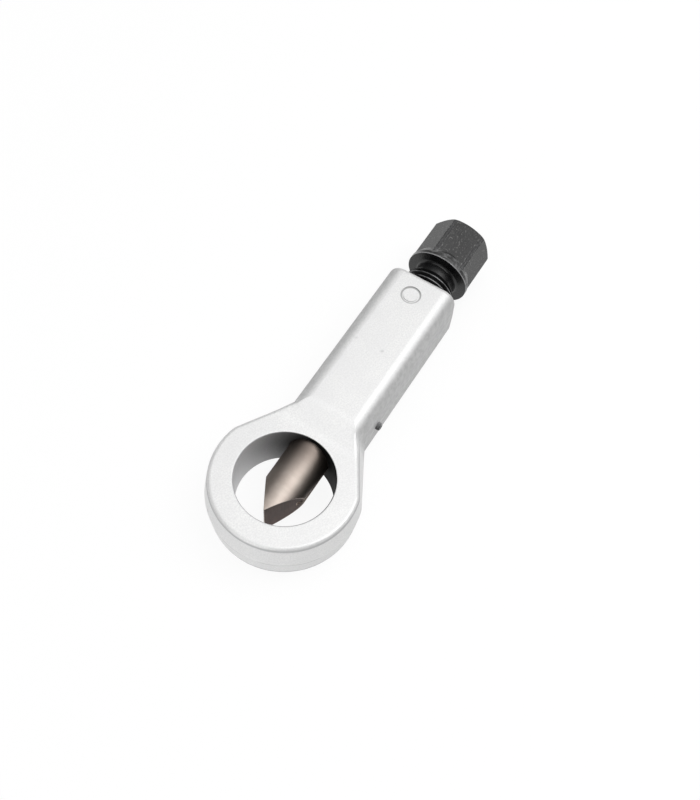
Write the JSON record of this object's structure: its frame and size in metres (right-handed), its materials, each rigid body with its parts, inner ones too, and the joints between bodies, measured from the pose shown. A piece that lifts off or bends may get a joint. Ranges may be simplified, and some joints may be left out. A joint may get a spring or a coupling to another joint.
{
  "type": "nut splitter",
  "caption": "Ring-ended forged tool whose hexagon-headed screw drives a wedge-pointed chisel across the ring to split a seized nut.",
  "frame": {"origin": "centre of the ring's hole, half way through the ring's thickness", "axes": "+X along the barrel from the ring towards the screw's head, +Z square to the ring's face, +Y completes the right-handed frame, so the guide screw is on the -Y side"},
  "size_m": [0.1559, 0.055, 0.0252],
  "materials": {
    "forged_body": "drop-forged steel, blasted and coated in pale matt silver, fine even grain",
    "chisel_steel": "hardened tool steel, ground along its length, straw-bronze temper colour",
    "black_oxide_screw": "turned steel in black oxide, satin, with thin bright edges",
    "black_oxide_set_screw": "small black oxide set screw"
  },
  "bodies": {
    "body": {"body": "forged_body", "guide_screw": "black_oxide_set_screw"},
    "chisel": {"chisel": "chisel_steel"},
    "pressure_screw": {"pressure_screw": "black_oxide_screw"}
  },
  "joints": [
    {"name": "chisel_slide", "type": "slide", "parent": "body", "child": "chisel", "axis": [1, 0, 0], "range_m": [-0.0036, 0.0312]},
    {"name": "screw_turn", "type": "hinge", "parent": "chisel", "child": "pressure_screw", "pos_m": [0.0494, 0, 0], "axis": [1, 0, 0], "range_deg": [-649, 5617]}
  ],
  "couplings": [
    {"joint": "screw_turn", "follows": "chisel_slide", "rad_per_m": 3141.6}
  ]
}
